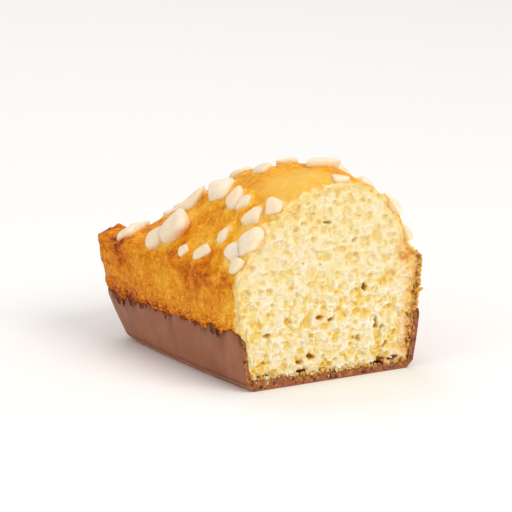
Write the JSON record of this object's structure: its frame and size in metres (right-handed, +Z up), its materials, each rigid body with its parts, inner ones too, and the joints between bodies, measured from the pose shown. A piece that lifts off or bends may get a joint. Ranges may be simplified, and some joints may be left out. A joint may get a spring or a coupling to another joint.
{
  "type": "half genoise sponge cake",
  "caption": "Half of a small loaf-shaped sponge cake, cut across, with pearl sugar on its domed top and a chocolate coat round its foot.",
  "frame": {"origin": "middle of the underside of the box round the half cake, on the surface it stands on", "axes": "+Z up, +Y towards the moulded end, -Y out of the cut face, +X to the right when looking at the cut face"},
  "size_m": [0.0406, 0.0542, 0.0385],
  "materials": {
    "sponge_crust": "baked golden-brown crust, satin, fine-grained",
    "sponge_crumb": "pale yellow open crumb, matte and porous",
    "pearl_sugar": "cream-white sugar nibs, satin",
    "milk_chocolate": "milk chocolate, satin with faint flow streaks"
  },
  "bodies": {
    "root": {"sponge": "sponge_crust", "chocolate_base": "milk_chocolate"}
  },
  "joints": []
}
